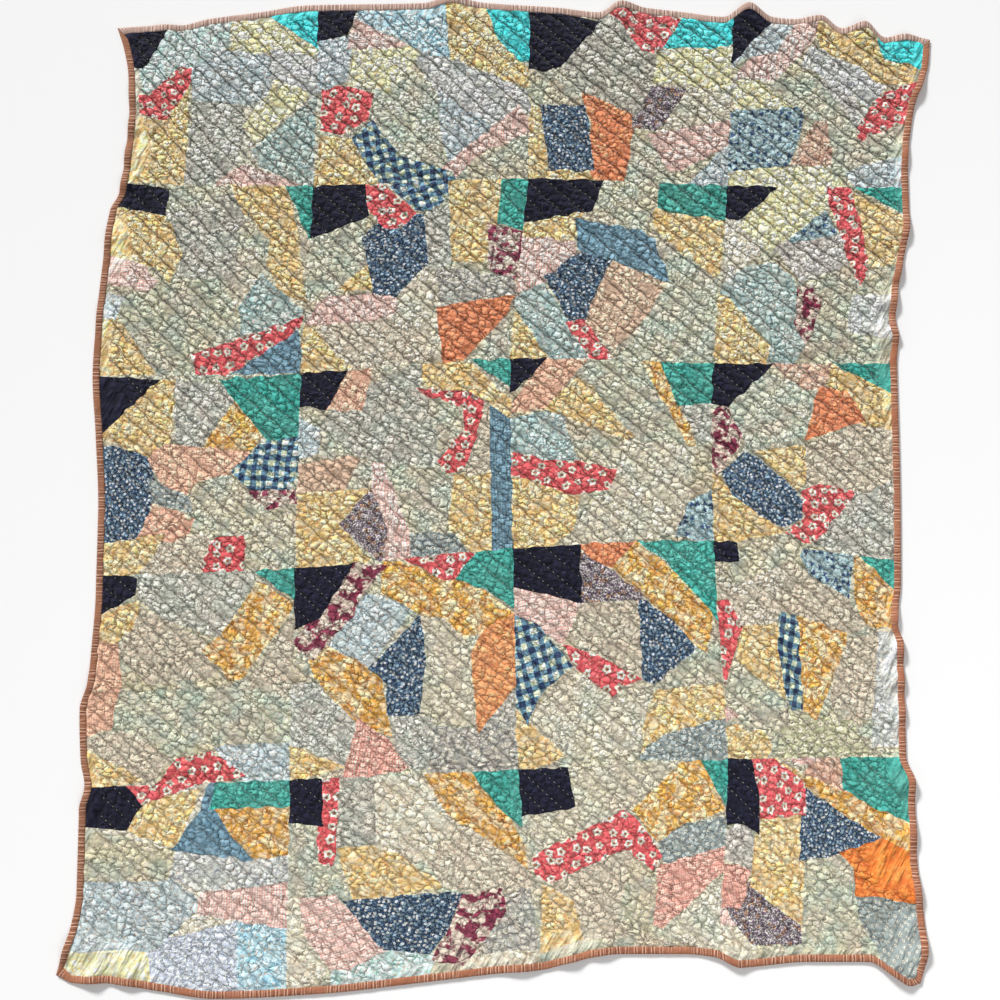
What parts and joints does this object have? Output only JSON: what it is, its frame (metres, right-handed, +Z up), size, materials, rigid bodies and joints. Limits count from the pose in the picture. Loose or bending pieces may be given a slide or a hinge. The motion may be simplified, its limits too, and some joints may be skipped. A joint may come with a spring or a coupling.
{
  "type": "patchwork quilt",
  "caption": "Crazy-pieced patchwork quilt lying flat, quilted in close rows over a thin filling, with a rippled edge bound in folded cotton.",
  "frame": {"origin": "centre of the bounding box, at the floor under the backing", "axes": "+X towards the right edge, +Y towards the top edge, +Z up through the patchwork face"},
  "size_m": [1.7699, 2.0398, 0.0222],
  "materials": {
    "patchwork_cotton": "matt washed cotton scraps in mixed prints and solids, hand quilted",
    "binding_cotton": "matt rust cotton with fine cross stripes, folded double"
  },
  "bodies": {
    "root": {"quilt": "patchwork_cotton", "binding_top": "binding_cotton", "binding_right": "binding_cotton", "binding_bottom": "binding_cotton", "binding_left": "binding_cotton"}
  },
  "joints": []
}
